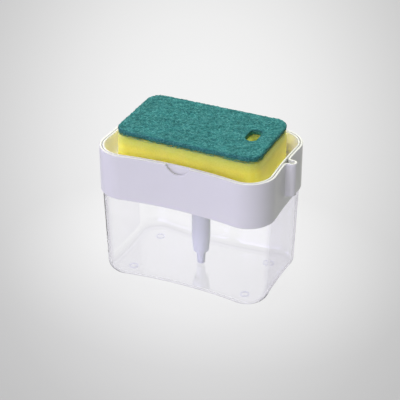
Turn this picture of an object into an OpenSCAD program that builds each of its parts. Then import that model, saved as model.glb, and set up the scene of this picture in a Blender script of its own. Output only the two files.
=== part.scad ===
// Soap pump caddy: a clear tub of washing-up soap under a white collar that carries a press
// pump. The sponge lies in a tray on top, and pressing it down brings soap up under the sponge.
// Origin: on the pump's axis, in the plane that the feet stand on. X runs along the caddy.

/* [Overall] */
// Length of the collar, without the guide channel
caddy_l = 126; // [110:1:150]
// Width of the collar at its corners
caddy_w = 82; // [72:1:100]
// Height of the collar's rim above the table
rim_h = 98; // [94:1:120]
// Corner radius of the collar, seen from above
corner_r = 19; // [14:0.5:24]
// How far the long sides are drawn in at the middle
long_waist = 3.5; // [0.5:0.1:6]
// How far the short ends are drawn in at the middle
short_waist = 0.7; // [0.2:0.1:2]

/* [Reservoir] */
// Wall thickness of the clear tub
reservoir_wall = 1.9; // [1.2:0.1:2.2]
// Floor thickness of the clear tub
floor_t = 1.5; // [1:0.1:2.5]
// How much further in than at the top the tub's walls stand at the base
draft_in = 1.8; // [0:0.1:3]
// Radius of the edge between walls and floor
base_edge_r = 7.5; // [4:0.5:9]
// Height of the ring feet
foot_h = 0.5; // [0.4:0.1:1.5]
// Outer diameter of a ring foot
foot_d = 6.6; // [5:0.2:9]
// Distance between the feet along the caddy
foot_span_l = 84.8; // [70:0.2:88]
// Distance between the feet across the caddy
foot_span_w = 42.6; // [34:0.2:46]

/* [Collar] */
// Height of the white collar
collar_h = 33; // [31:0.5:37]
// Wall thickness of the collar at its rim
collar_wall = 1.7; // [1.3:0.1:2]
// Wall thickness of the skirt that hangs over the tub
skirt_wall = 1.1; // [0.8:0.1:1.2]
// Side clearance between the skirt and the tub
skirt_gap = 0.2; // [0.2:0.05:0.4]
// How far the skirt hangs over the tub
seat_depth = 3; // [2:0.5:4]
// Thickness of the deck that closes the tub
deck_t = 1.6; // [1.2:0.1:1.6]
// Width of the finger notch at the rim
notch_w = 16.5; // [13:0.5:22]
// Depth of the finger notch
notch_d = 6; // [4.5:0.5:8]
// Outer radius of the guide channel
channel_r = 3.5; // [3.3:0.1:4.5]
// How far the guide channel's axis stands outside the end wall
channel_reach = 2.1; // [1.5:0.1:3]
// Radius of the fillet between the guide channel and the wall
channel_fillet = 1.6; // [1.2:0.1:2]
// How far above the collar's lower edge the guide channel ends
channel_foot = 8.6; // [7.5:0.1:12]

/* [Press tray] */
// Gap between the tray and the collar all round
tray_gap = 0.35; // [0.3:0.05:0.6]
// Wall thickness of the tray
tray_wall = 1.4; // [1:0.1:1.8]
// Floor thickness of the tray
tray_floor_t = 1.4; // [1:0.1:1.8]
// Radius inside the tray between wall and floor
tray_edge_r = 3; // [2:0.5:4]
// Height of the ribs on the tray's floor
rib_h = 0.8; // [0.5:0.1:1.2]
// Width of a rib
rib_w = 1.6; // [1:0.1:2.5]
// Distance from rib to rib
rib_pitch = 8; // [6:0.5:12]
// Diameter of the lug that runs in the guide channel
lug_d = 2.8; // [2:0.1:3]
// How far the lug ends below the rim
lug_drop = 3.5; // [2:0.5:6]

/* [Pump] */
// Travel of the pump
stroke = 8.5; // [6:0.5:8.5]
// Outer diameter of the pump's barrel
barrel_d = 13; // [12.6:0.1:14]
// Wall thickness of the barrel
barrel_wall = 1.3; // [1:0.1:1.4]
// Outer diameter of the tapered skirt at its lower end
taper_d = 10.9; // [10.6:0.1:12]
// Height above the table where the barrel starts to taper
taper_top_z = 24.3; // [22:0.1:26]
// Height above the table where the taper ends
taper_end_z = 13.2; // [12:0.1:15]
// Outer diameter of the inlet tube where it leaves the housing
tube_d = 6.8; // [6:0.1:7.2]
// Outer diameter of the inlet tube at its mouth
tube_end_d = 5.6; // [5:0.1:6.6]
// Height of the inlet tube's mouth above the tub's floor
tube_mouth_gap = 1; // [0.5:0.1:2]
// Outer diameter of the stem
stem_d = 6; // [5.6:0.1:6.4]
// Wire diameter of the return spring
wire_d = 0.9; // [0.7:0.1:1]
// Number of curls of the return spring
spring_curls = 8; // [5:1:9]
// Diameter of the inlet ball
inlet_ball_d = 5; // [4.4:0.1:5.2]
// Diameter of the outlet ball
outlet_ball_d = 3.8; // [3.4:0.1:4]

/* [Sponge] */
// Room between either end of the sponge and the tray's end wall
sponge_end_gap = 6.6; // [4:0.05:10]
// Room between either side of the sponge and the narrowest stretch of the tray
sponge_side_gap = 3.3; // [2:0.1:6]
// Corner radius of the sponge, seen from above
sponge_r = 10.5; // [8:0.5:16]
// Thickness of the yellow foam
foam_t = 26; // [20:0.5:32]
// Thickness of the green scouring pad
pad_t = 4; // [3:0.5:7]
// How far the foam stands out beyond the pad all round
pad_inset = 0.8; // [0:0.1:2]
// Width of the oval hanging hole, along the caddy
hole_w = 8; // [6:0.5:12]
// Length of the oval hanging hole, across the caddy
hole_l = 16; // [13:0.5:20]
// Distance from the sponge's right end to the middle of the hole
hole_inset = 15.5; // [12:0.5:24]

/* [Hidden] */

// Steps of the round stretches
corner_steps = 8;
long_side_steps = 8;
short_side_steps = 4;
edge_steps = 5;
lip_steps = 4;
barrel_steps = 12;
fillet_steps = 4;
round_fn = 72;
small_fn = 40;
ring_fn = 96;

// One overrun for every cut, and the small gap between pieces that rest on each other
cut = 1;
rest_gap = 0.1;
fit_gap = 0.05;

// Outline of the caddy seen from above: four corner arcs, joined by four slightly hollow arcs
// that run on smoothly from them
corner_x = caddy_l / 2 - corner_r;
corner_y = caddy_w / 2 - corner_r;
long_r = (corner_x * corner_x + long_waist * long_waist) / (2 * long_waist);
long_a = asin(corner_x / long_r);
short_r = (corner_y * corner_y + short_waist * short_waist) / (2 * short_waist);
short_a = asin(corner_y / short_r);
long_y = corner_y + long_r * cos(long_a);
short_x = corner_x + short_r * cos(short_a);

// Guide channel on the right end: a round bulge with a fillet on either side
channel_x = caddy_l / 2 + channel_reach;
hollow_r = short_r - corner_r;
fillet_far = hollow_r - channel_fillet;
fillet_near = channel_r + channel_fillet;
fillet_x = (pow(short_x, 2) - pow(channel_x, 2) - pow(fillet_far, 2) + pow(fillet_near, 2))
         / (2 * (short_x - channel_x));
fillet_y = sqrt(pow(fillet_near, 2) - pow(fillet_x - channel_x, 2));
wall_a = atan2(fillet_y, fillet_x - short_x);
barrel_a = atan2(fillet_y, fillet_x - channel_x);
mouth_a = atan2(fillet_y, channel_x - fillet_x);
channel_slope = 1.2;

// Insets from the collar's outline
skirt_in = skirt_wall;
tub_in = skirt_wall + skirt_gap;
tub_base_in = tub_in + draft_in;
tray_in = collar_wall + tray_gap;
tray_cavity_in = tray_in + tray_wall;

// Heights
collar_z = rim_h - collar_h;
seat_z = collar_z + seat_depth;
tub_top_z = seat_z - rest_gap;
deck_top_z = seat_z + deck_t;
press_gap = 0.3;
tray_z = deck_top_z + press_gap + stroke;
tray_floor_z = tray_z + tray_floor_t;
rib_top_z = tray_floor_z + rib_h;
tub_floor_z = foot_h + floor_t;
channel_z = collar_z + channel_foot;
channel_floor_z = channel_z + collar_wall;
lug_z = channel_floor_z + press_gap + stroke;
lip_r = 0.6;
foot_ring_w = 1.1;

// Pump, from the deck down
spigot_h = 9;
spigot_r = 10;
spigot_bore_r = 8;
gasket_t = 1;
flange_t = 1.8;
flange_r = 9.5;
nut_wall = 2.4;
nut_floor_t = 2;
nut_h = 12;
nut_grips = 18;
grip_r = 0.7;
spigot_z = seat_z - spigot_h;
flange_top_z = spigot_z - gasket_t;
flange_z = flange_top_z - flange_t;
nut_z = flange_z - nut_floor_t;
barrel_r = barrel_d / 2;
bore_r = barrel_r - barrel_wall;
stem_r = stem_d / 2;
chaplet_lip_r = 7;
chaplet_lip_t = 1.5;
chaplet_h = 3.5;
chaplet_z = flange_top_z - chaplet_h;
chaplet_top_z = flange_top_z + chaplet_lip_t;
slide_gap = 0.08;

// Plunger
stem_bore_r = 1.6;
stem_stop_r = stem_r + 1.2;
stem_stop_t = 0.9;
stem_stop_z = chaplet_z - press_gap - stem_stop_t;
piston_h = 5.1;
piston_waist_r = bore_r - 0.8;
piston_lip_h = 1.2;
piston_z = stem_stop_z - fit_gap - piston_h;
plug_head_t = 1.1;
plug_head_r = stem_r + 0.9;
plug_bore_r = 0.8;
plug_z = piston_z - fit_gap - plug_head_t;
boss_wall = 2;
boss_r = stem_r + boss_wall;
boss_gap = 0.5;
boss_z = chaplet_top_z + boss_gap + stroke;
boss_ledge_t = 0.9;
stem_top_z = tray_z - boss_ledge_t;

// Outlet valve at the top of the stem
outlet_throat_r = 1.2;
outlet_cage_r = 2.2;
outlet_lip_t = 0.8;
outlet_seat_z = stem_top_z - 6.4;
outlet_ball_r = outlet_ball_d / 2;
outlet_ball_z = seated_z(outlet_seat_z, outlet_throat_r, outlet_ball_r);

// Inlet valve and tube at the foot of the housing
socket_depth = 8.3;
pocket_depth = 4.3;
pocket_wall = 1;
inlet_throat_r = 1.5;
inlet_throat_t = 0.8;
inlet_cage_r = 3.2;
inlet_cage_h = 6;
inlet_lip_r = 2.2;
inlet_lip_t = 0.7;
inlet_ball_r = inlet_ball_d / 2;
tube_r = tube_d / 2;
tube_wall = 1.2;
socket_top_z = taper_end_z + socket_depth;
inlet_seat_z = socket_top_z + inlet_throat_t;
inlet_lip_z = inlet_seat_z + inlet_cage_h;
spring_seat_z = inlet_lip_z + inlet_lip_t;
inlet_ball_z = seated_z(inlet_seat_z, inlet_throat_r, inlet_ball_r);
tube_end_z = tub_floor_z + tube_mouth_gap;

// Return spring
curl_rings = 8;
wire_sides = 6;
spring_r = bore_r - wire_d / 2 - 0.5;
spring_low_z = spring_seat_z + wire_d / 2 + fit_gap;
spring_high_z = plug_z - wire_d / 2 - fit_gap;
curl_pitch = (spring_high_z - spring_low_z) / spring_curls;

// Outlet cap in the middle of the tray
cap_r = 6.5;
cap_plug_r = 2.3;
cap_hole_r = cap_plug_r + fit_gap;
cap_flutes = 4;
cap_flute_r = 0.6;
groove_w = 1.2;
groove_d = 0.5;
groove_reach = cap_r + 2;

// Ribs of the tray's floor: a row along the caddy, left out round the outlet cap
rib_rows = floor((caddy_w / 2 - long_waist - tray_cavity_in - tray_edge_r) / rib_pitch);
rib_end_in = tray_cavity_in + tray_edge_r + rib_w;
rib_clear_r = groove_reach + rib_w;

// Sponge, which lies a little off the middle of the tray
sponge_l = caddy_l - 2 * (short_waist + tray_cavity_in + sponge_end_gap);
sponge_w = caddy_w - 2 * (long_waist + tray_cavity_in + sponge_side_gap);
sponge_x = 0.1;
sponge_y = 1.7;
foam_z = rib_top_z + rest_gap;
pad_z = foam_z + foam_t;
foam_edge_r = 1.5;
pad_edge_r = 0.8;
hole_x = sponge_x + sponge_l / 2 - hole_inset;
hole_y = sponge_y + 0.6;

// Height of a ball's centre when it rests in a 45 degree seat that starts at z with radius r
function seated_z(z, r, ball_r) = z - r + 2 * ball_r * cos(45) + rest_gap;

// Points of an arc, without its last point, which the next arc brings
function arc(c, r, a0, a1, n) =
    [for (i = [0 : n - 1]) let (a = a0 + (a1 - a0) * i / n) [c.x + r * cos(a), c.y + r * sin(a)]];

// The right end of the outline at an inset: plain, or with the guide channel's bulge, or level
// with as many points as the bulge, for the rings below it
function plain_end(t) =
    arc([short_x, 0], hollow_r + t, 180 + short_a, 180 - short_a, short_side_steps);
function level_end(t) = concat(
    arc([short_x, 0], hollow_r + t, 180 + short_a, 360 - wall_a, short_side_steps / 2),
    arc([short_x, 0], hollow_r + t, 360 - wall_a, wall_a, 2 * fillet_steps + barrel_steps),
    arc([short_x, 0], hollow_r + t, wall_a, 180 - short_a, short_side_steps / 2));
function channel_end(t) = concat(
    arc([short_x, 0], hollow_r + t, 180 + short_a, 360 - wall_a, short_side_steps / 2),
    arc([fillet_x, -fillet_y], channel_fillet + t, 360 - wall_a, mouth_a, fillet_steps),
    arc([channel_x, 0], channel_r - t, -barrel_a, barrel_a, barrel_steps),
    arc([fillet_x, fillet_y], channel_fillet + t, -mouth_a, wall_a - 360, fillet_steps),
    arc([short_x, 0], hollow_r + t, wall_a, 180 - short_a, short_side_steps / 2));

// The whole outline at an inset, counter-clockwise from above
function outline(t) = concat(outline_sides(t), plain_end(t));
function outline_sides(t) = let (r = corner_r - t) concat(
    arc([corner_x, corner_y], r, -short_a, 90 + long_a, corner_steps),
    arc([0, long_y], long_r - r, long_a - 90, -90 - long_a, long_side_steps),
    arc([-corner_x, corner_y], r, 90 - long_a, 180 + short_a, corner_steps),
    arc([-short_x, 0], short_r - r, short_a, -short_a, short_side_steps),
    arc([-corner_x, -corner_y], r, 180 - short_a, 270 + long_a, corner_steps),
    arc([0, -long_y], long_r - r, 90 + long_a, 90 - long_a, long_side_steps),
    arc([corner_x, -corner_y], r, -90 - long_a, short_a, corner_steps));

// A plain rounded rectangle at an inset
function pill(l, w, r, t) = concat(
    arc([l / 2 - r, w / 2 - r], r - t, 0, 90, corner_steps + 1),
    arc([r - l / 2, w / 2 - r], r - t, 90, 180, corner_steps + 1),
    arc([r - l / 2, r - w / 2], r - t, 180, 270, corner_steps + 1),
    arc([l / 2 - r, r - w / 2], r - t, 270, 360, corner_steps + 1));

// A quarter round in a wall's profile, as pairs of inset and height
function quarter(t, z, r, a0, a1, n) =
    [for (i = [0 : n]) let (a = a0 + (a1 - a0) * i / n) [t + r * cos(a), z + r * sin(a)]];

// A solid whose skin runs through rings of equal length. With loop, the last ring joins the
// first, as round a frame, and otherwise the two end rings are closed by flat faces
module skin(rings, heights, loop = false) {
    n = len(rings[0]);
    m = len(rings);
    spans = loop ? m : m - 1;
    points = [for (i = [0 : m - 1]) for (p = rings[i]) [p.x, p.y, heights[i]]];
    sides = [for (i = [0 : spans - 1]) for (j = [0 : n - 1])
        let (a = i * n, b = ((i + 1) % m) * n, k = (j + 1) % n)
        each [[a + j, b + j, b + k], [a + j, b + k, a + k]]];
    caps = loop ? [] : [[for (j = [0 : n - 1]) j], [for (j = [n - 1 : -1 : 0]) (m - 1) * n + j]];
    polyhedron(points = points, faces = concat(sides, caps), convexity = 6);
}

// A solid with the caddy's outline and the given profile of insets and heights
module shaped(profile, loop = false) {
    skin([for (p = profile) outline(p[0])], [for (p = profile) p[1]], loop);
}

// A straight prism with the caddy's outline at an inset
module slab(t, z0, z1) {
    translate([0, 0, z0])
        linear_extrude(z1 - z0)
            polygon(outline(t));
}

// A round piece from its profile of radii and heights
module turned(profile, fn = ring_fn) {
    rotate_extrude($fn = fn)
        polygon(profile);
}

module rod(r, z0, z1, fn = round_fn) {
    translate([0, 0, z0])
        cylinder(r = r, h = z1 - z0, $fn = fn);
}

// Clear tub: drafted walls, rounded base edge, thin floor and four ring feet
module reservoir() {
    floor_in = tub_base_in + base_edge_r;
    edge_z = foot_h + rest_gap + base_edge_r;
    wall_profile = concat(
        quarter(floor_in, edge_z, base_edge_r, 270, 180, edge_steps),
        [[tub_in, tub_top_z], [tub_in + reservoir_wall, tub_top_z]],
        quarter(floor_in, edge_z, base_edge_r - reservoir_wall, 180, 270, edge_steps));
    color([0.93, 0.94, 0.97, 0.35]) {
        shaped(level_floor(wall_profile), loop = true);
        slab(floor_in - rest_gap, foot_h, tub_floor_z);
        for (sx = [-1, 1])
            for (sy = [-1, 1])
                translate([sx * foot_span_l / 2, sy * foot_span_w / 2, 0])
                    foot();
    }
}

// The wall's inner foot is brought down until it runs into the floor's upper face
function level_floor(profile) = let (
    drop = profile[len(profile) - 1][1] - tub_floor_z + rest_gap,
    inner = edge_steps + 2)
    [for (i = [0 : len(profile) - 1])
        i <= inner ? profile[i]
        : [profile[i][0], profile[i][1] - drop * (i - inner) / (len(profile) - 1 - inner)]];

module foot() {
    foot_r = foot_d / 2;
    turned([
        [foot_r - foot_ring_w, 0], [foot_r, 0], [foot_r, foot_h + floor_t / 2],
        [foot_r - foot_ring_w, foot_h + floor_t / 2]], small_fn);
}

// White frame: wall with rounded lip and guide channel, deck, spigot for the pump, rebate that
// hangs over the tub, and the finger notch in the front wall
module collar() {
    notch_r = (pow(notch_w / 2, 2) + pow(notch_d, 2)) / (2 * notch_d);
    front_y = -caddy_w / 2 + long_waist;
    color([0.93, 0.92, 0.96])
        difference() {
            union() {
                collar_wall_ring();
                slab(skirt_in / 2, seat_z, deck_top_z);
                rod(spigot_r, spigot_z, seat_z + deck_t / 2, ring_fn);
            }
            rod(spigot_bore_r, spigot_z - cut, deck_top_z + cut, ring_fn);
            translate([0, front_y - collar_wall, rim_h - notch_d + notch_r])
                rotate([-90, 0, 0])
                    cylinder(r = notch_r, h = 2 * collar_wall + tray_gap, $fn = ring_fn);
        }
}

// The collar's wall as one closed ring, with the guide channel from channel_z up
module collar_wall_ring() {
    below = [[skirt_in, collar_z], [0, collar_z], [0, channel_z - channel_slope]];
    beside = concat(
        [[0, channel_z]],
        quarter(lip_r, rim_h - lip_r, lip_r, 180, 90, lip_steps),
        quarter(collar_wall - lip_r, rim_h - lip_r, lip_r, 90, 0, lip_steps),
        [[collar_wall, channel_floor_z]]);
    inside = [[collar_wall, channel_floor_z - channel_slope], [collar_wall, seat_z],
              [skirt_in, seat_z]];
    skin(concat(
        [for (p = below) concat(outline_sides(p[0]), level_end(p[0]))],
        [for (p = beside) concat(outline_sides(p[0]), channel_end(p[0]))],
        [for (p = inside) concat(outline_sides(p[0]), level_end(p[0]))]),
        [for (p = concat(below, beside, inside)) p[1]], loop = true);
}

// White dish with ribbed floor, boss for the stem and lug for the guide channel
module press_tray() {
    lug_r = lug_d / 2;
    end_x = caddy_l / 2 - short_waist;
    web_w = lug_r;
    lug_top_z = rim_h - lug_drop;
    color([0.95, 0.94, 0.97])
        difference() {
            union() {
                shaped(concat(
                    quarter(tray_in + tray_edge_r, tray_z + tray_edge_r, tray_edge_r, 270, 180,
                            edge_steps),
                    quarter(tray_in + lip_r, rim_h - lip_r, lip_r, 180, 90, lip_steps),
                    quarter(tray_cavity_in - lip_r, rim_h - lip_r, lip_r, 90, 0, lip_steps),
                    quarter(tray_cavity_in + tray_edge_r, tray_floor_z + tray_edge_r, tray_edge_r,
                            180, 270, edge_steps)));
                floor_ribs();
                rod(boss_r, boss_z, tray_z + tray_floor_t / 2);
                translate([channel_x, 0, lug_z])
                    cylinder(r = lug_r, h = lug_top_z - lug_z, $fn = small_fn);
                translate([end_x - tray_in - tray_wall / 2, -web_w / 2, lug_z + fit_gap])
                    cube([channel_x - end_x + tray_in + tray_wall / 2, web_w,
                          lug_top_z - lug_z - 2 * fit_gap]);
            }
            rod(stem_r + fit_gap, boss_z - cut, stem_top_z + fit_gap);
            rod(cap_hole_r, stem_top_z, tray_floor_z + cut);
            outlet_grooves();
        }
}

// Low ribs along the tray that keep the sponge off the floor
module floor_ribs() {
    difference() {
        intersection() {
            for (i = [-rib_rows : rib_rows])
                translate([-caddy_l / 2, i * rib_pitch - rib_w / 2, tray_floor_z - tray_floor_t / 2])
                    cube([caddy_l, rib_w, tray_floor_t / 2 + rib_h]);
            slab(rib_end_in, tray_z, rim_h);
        }
        rod(rib_clear_r, tray_floor_z, rim_h);
    }
}

// Crossed grooves in the floor that lead the soap out from under the cap
module outlet_grooves() {
    for (a = [0 : 90 : 270])
        rotate([0, 0, a + 45])
            translate([0, -groove_w / 2, tray_floor_z - groove_d])
                cube([groove_reach, groove_w, groove_d + cut]);
}

// Flat button over the outlet, with flutes along its plug
module outlet_cap() {
    cap_top_t = rib_h - rest_gap;
    color([0.88, 0.88, 0.92])
        difference() {
            union() {
                rod(cap_r, tray_floor_z, tray_floor_z + cap_top_t);
                rod(cap_plug_r, stem_top_z + rest_gap, tray_floor_z + cap_top_t / 2);
            }
            for (i = [0 : cap_flutes - 1])
                rotate([0, 0, i * 360 / cap_flutes + 45])
                    translate([cap_plug_r, 0, stem_top_z])
                        cylinder(r = cap_flute_r, h = tray_floor_z - stem_top_z, $fn = small_fn);
        }
}

// Pump barrel: flange, straight bore, ball cage with seat, tapered skirt and tube socket
module pump_housing() {
    pocket_z = taper_end_z + pocket_depth;
    skirt_r = taper_d / 2;
    pocket_r = skirt_r - pocket_wall;
    seat_rise = inlet_cage_r - inlet_throat_r;
    color([0.82, 0.82, 0.90])
        turned([
            [bore_r, flange_top_z], [flange_r, flange_top_z], [flange_r, flange_z],
            [barrel_r, flange_z], [barrel_r, taper_top_z], [skirt_r, taper_end_z],
            [pocket_r, taper_end_z], [pocket_r, pocket_z], [tube_r + fit_gap, pocket_z],
            [tube_r + fit_gap, socket_top_z], [inlet_throat_r, socket_top_z],
            [inlet_throat_r, inlet_seat_z], [inlet_cage_r, inlet_seat_z + seat_rise],
            [inlet_cage_r, inlet_lip_z], [inlet_lip_r, inlet_lip_z],
            [inlet_lip_r, spring_seat_z], [bore_r, spring_seat_z]]);
}

// Narrow tail that draws the soap from just above the floor
module inlet_tube() {
    end_r = tube_end_d / 2;
    hole_r = end_r - tube_wall;
    color([0.86, 0.85, 0.93])
        turned([
            [hole_r, tube_end_z], [end_r, tube_end_z], [tube_r, taper_end_z],
            [tube_r, socket_top_z - fit_gap], [hole_r, socket_top_z - fit_gap]]);
}

// Closure ring that clamps the housing's flange against the spigot
module pump_nut() {
    inner_r = spigot_r + slide_gap;
    outer_r = inner_r + nut_wall;
    color([0.90, 0.90, 0.94])
        difference() {
            turned([
                [barrel_r + slide_gap, nut_z], [outer_r, nut_z], [outer_r, nut_z + nut_h],
                [inner_r, nut_z + nut_h], [inner_r, flange_z - fit_gap],
                [barrel_r + slide_gap, flange_z - fit_gap]]);
            for (i = [0 : nut_grips - 1])
                rotate([0, 0, i * 360 / nut_grips])
                    translate([outer_r + grip_r / 3, 0, nut_z + nut_floor_t])
                        cylinder(r = grip_r, h = nut_h, $fn = small_fn);
        }
}

module pump_gasket() {
    color([0.35, 0.36, 0.40])
        turned([
            [chaplet_lip_r + slide_gap, flange_top_z + fit_gap],
            [flange_r, flange_top_z + fit_gap], [flange_r, spigot_z - fit_gap],
            [chaplet_lip_r + slide_gap, spigot_z - fit_gap]]);
}

// Guide bush that keeps the plunger in the barrel
module chaplet() {
    color([0.92, 0.92, 0.96])
        turned([
            [stem_r + slide_gap, chaplet_z], [bore_r - fit_gap, chaplet_z],
            [bore_r - fit_gap, flange_top_z + fit_gap], [chaplet_lip_r, flange_top_z + fit_gap],
            [chaplet_lip_r, chaplet_top_z - fit_gap], [stem_r + slide_gap, chaplet_top_z - fit_gap]]);
}

// Hollow plunger with the outlet valve's seat and cage at its top
module stem() {
    seat_rise = outlet_cage_r - outlet_throat_r;
    throat_z = outlet_seat_z - outlet_lip_t;
    color([0.90, 0.90, 0.95])
        turned([
            [stem_bore_r, piston_z], [stem_r, piston_z], [stem_r, stem_stop_z],
            [stem_stop_r, stem_stop_z], [stem_stop_r, stem_stop_z + stem_stop_t],
            [stem_r, stem_stop_z + stem_stop_t], [stem_r, stem_top_z],
            [stem_bore_r, stem_top_z], [stem_bore_r, stem_top_z - outlet_lip_t],
            [outlet_cage_r, stem_top_z - outlet_lip_t], [outlet_cage_r, outlet_seat_z + seat_rise],
            [outlet_throat_r, outlet_seat_z], [outlet_throat_r, throat_z],
            [stem_bore_r, throat_z]]);
}

// Sliding seal with a lip at either end
module piston() {
    piston_top_z = piston_z + piston_h;
    lip_out_r = bore_r - fit_gap;
    color([0.80, 0.84, 0.90])
        turned([
            [stem_r + fit_gap, piston_z], [lip_out_r, piston_z], [lip_out_r, piston_z + piston_lip_h],
            [piston_waist_r, piston_z + 2 * piston_lip_h],
            [piston_waist_r, piston_top_z - 2 * piston_lip_h],
            [lip_out_r, piston_top_z - piston_lip_h], [lip_out_r, piston_top_z],
            [stem_r + fit_gap, piston_top_z]]);
}

// Hollow plug that holds the piston on the stem and seats the spring
module piston_plug() {
    shank_r = stem_bore_r - fit_gap;
    color([0.78, 0.78, 0.84])
        turned([
            [plug_bore_r, plug_z], [plug_head_r, plug_z], [plug_head_r, plug_z + plug_head_t],
            [shank_r, plug_z + plug_head_t], [shank_r, stem_stop_z], [plug_bore_r, stem_stop_z]]);
}

// Return spring as one unbroken tube of wire, curls at a steady pitch
module return_spring() {
    ring_count = spring_curls * curl_rings;
    centres = [for (i = [0 : ring_count]) spring_centre(i)];
    points = [for (i = [0 : ring_count]) for (s = [0 : wire_sides - 1])
        spring_point(i, s * 360 / wire_sides)];
    sides = [for (i = [0 : ring_count - 1]) for (s = [0 : wire_sides - 1])
        let (a = i * wire_sides, b = (i + 1) * wire_sides, t = (s + 1) % wire_sides)
        each [[a + s, b + s, b + t], [a + s, b + t, a + t]]];
    caps = [[for (s = [0 : wire_sides - 1]) s],
            [for (s = [wire_sides - 1 : -1 : 0]) ring_count * wire_sides + s]];
    echo(spring_least_gap = self_gap(centres));
    color([0.75, 0.77, 0.80])
        polyhedron(points = points, faces = concat(caps, sides), convexity = 10);
}

function spring_centre(i) = let (a = i * 360 / curl_rings)
    [spring_r * cos(a), spring_r * sin(a), spring_low_z + i * curl_pitch / curl_rings];

function spring_point(i, a) = let (
    turn = i * 360 / curl_rings,
    r = spring_r + wire_d / 2 * cos(a))
    [r * cos(turn), r * sin(turn), spring_centre(i).z + wire_d / 2 * sin(a)];

// Least gap between the wire and itself, from ring to ring at least half a curl apart
function self_gap(c) = min([for (i = [0 : len(c) - 1])
    for (j = [i + curl_rings / 2 : len(c) - 1]) norm(c[i] - c[j])]) - wire_d;

module inlet_ball() {
    color([0.70, 0.74, 0.80])
        translate([0, 0, inlet_ball_z])
            sphere(r = inlet_ball_r, $fn = small_fn);
}

module outlet_ball() {
    color([0.70, 0.74, 0.80])
        translate([0, 0, outlet_ball_z])
            sphere(r = outlet_ball_r, $fn = small_fn);
}

// A block with the sponge's outline at an inset and softened edges
module sponge_block(z, t, edge_r, inset = 0) {
    profile = concat(quarter(edge_r, z + edge_r, edge_r, 270, 180, lip_steps),
                     quarter(edge_r, z + t - edge_r, edge_r, 180, 90, lip_steps));
    translate([sponge_x, sponge_y, 0])
        skin([for (p = profile) pill(sponge_l, sponge_w, sponge_r, p[0] + inset)],
             [for (p = profile) p[1]]);
}

module sponge_foam() {
    color([0.90, 0.84, 0.30])
        sponge_block(foam_z, foam_t, foam_edge_r);
}

module scour_pad() {
    hole_r = hole_w / 2;
    hole_half = hole_l / 2 - hole_r;
    color([0.18, 0.50, 0.46])
        difference() {
            sponge_block(pad_z + fit_gap, pad_t, pad_edge_r, pad_inset);
            translate([hole_x, hole_y, pad_z - cut]) {
                for (s = [-1, 1])
                    translate([0, s * hole_half, 0])
                        cylinder(r = hole_r, h = pad_t + 2 * cut, $fn = small_fn);
                translate([-hole_r, -hole_half, 0])
                    cube([hole_w, 2 * hole_half, pad_t + 2 * cut]);
            }
        }
}

reservoir();
collar();
press_tray();
outlet_cap();
pump_housing();
inlet_tube();
pump_nut();
pump_gasket();
chaplet();
stem();
piston();
piston_plug();
return_spring();
inlet_ball();
outlet_ball();
sponge_foam();
scour_pad();
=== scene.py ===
"""Soap pump caddy: a clear tub under a white collar, with a sponge lying in the press tray.

All sizes are in metres, in the frame of the CAD model: +X along the caddy towards the guide
channel, +Y towards the back, +Z up, origin on the pump's axis in the plane of the feet.
"""
import math
import random

import bmesh
import bpy
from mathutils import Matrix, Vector, noise


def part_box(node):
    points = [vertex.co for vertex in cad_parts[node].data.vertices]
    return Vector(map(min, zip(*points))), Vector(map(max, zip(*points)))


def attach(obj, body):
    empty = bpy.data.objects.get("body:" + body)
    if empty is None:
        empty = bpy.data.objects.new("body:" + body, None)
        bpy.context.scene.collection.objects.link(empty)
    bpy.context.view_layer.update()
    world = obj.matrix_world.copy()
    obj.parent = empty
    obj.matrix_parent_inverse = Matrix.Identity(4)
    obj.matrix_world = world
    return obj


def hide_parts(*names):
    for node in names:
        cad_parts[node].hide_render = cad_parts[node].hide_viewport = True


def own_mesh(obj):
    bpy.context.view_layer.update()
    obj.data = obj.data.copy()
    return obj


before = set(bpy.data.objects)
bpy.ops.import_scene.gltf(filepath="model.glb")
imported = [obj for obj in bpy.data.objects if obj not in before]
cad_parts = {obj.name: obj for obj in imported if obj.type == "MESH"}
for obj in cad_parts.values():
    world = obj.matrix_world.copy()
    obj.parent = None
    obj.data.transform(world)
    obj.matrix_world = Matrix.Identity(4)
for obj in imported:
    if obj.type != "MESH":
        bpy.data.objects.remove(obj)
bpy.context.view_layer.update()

MM = 0.001

# Outline of the caddy seen from above
HALF_L = 63 * MM
HALF_W = 41 * MM
CORNER_R = 19 * MM
LONG_WAIST = 3.5 * MM
SHORT_WAIST = 0.7 * MM
CHANNEL_R = 3.5 * MM
CHANNEL_REACH = 2.1 * MM
CHANNEL_FILLET = 1.6 * MM

# Steps of the outline's round stretches
CORNER_STEPS = 20
LONG_STEPS = 144
SHORT_STEPS = 12
BARREL_STEPS = 28
FILLET_STEPS = 10
EDGE_STEPS = 10
LIP_STEPS = 6
TURN_STEPS = 72
FOOT_STEPS = 40
LUG_STEPS = 36

# Walls, as insets from the collar's outline
COLLAR_WALL = 1.7 * MM
SKIRT_WALL = 1.1 * MM
TUB_IN = 1.3 * MM
TUB_BASE_IN = 3.1 * MM
TUB_WALL = 1.9 * MM
TUB_FLOOR = 1.5 * MM
TUB_EDGE_R = 7.5 * MM
TRAY_IN = 2.05 * MM
TRAY_CAVITY_IN = 3.45 * MM
TRAY_EDGE_R = 3 * MM
LIP_R = 0.6 * MM

# Heights that the CAD model gives
RIM_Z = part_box("collar")[1].z
TUB_TOP_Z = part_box("reservoir")[1].z
SPIGOT_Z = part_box("collar")[0].z
FOAM_LO, FOAM_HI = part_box("sponge_foam")
PAD_LO, PAD_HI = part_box("scour_pad")

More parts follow.
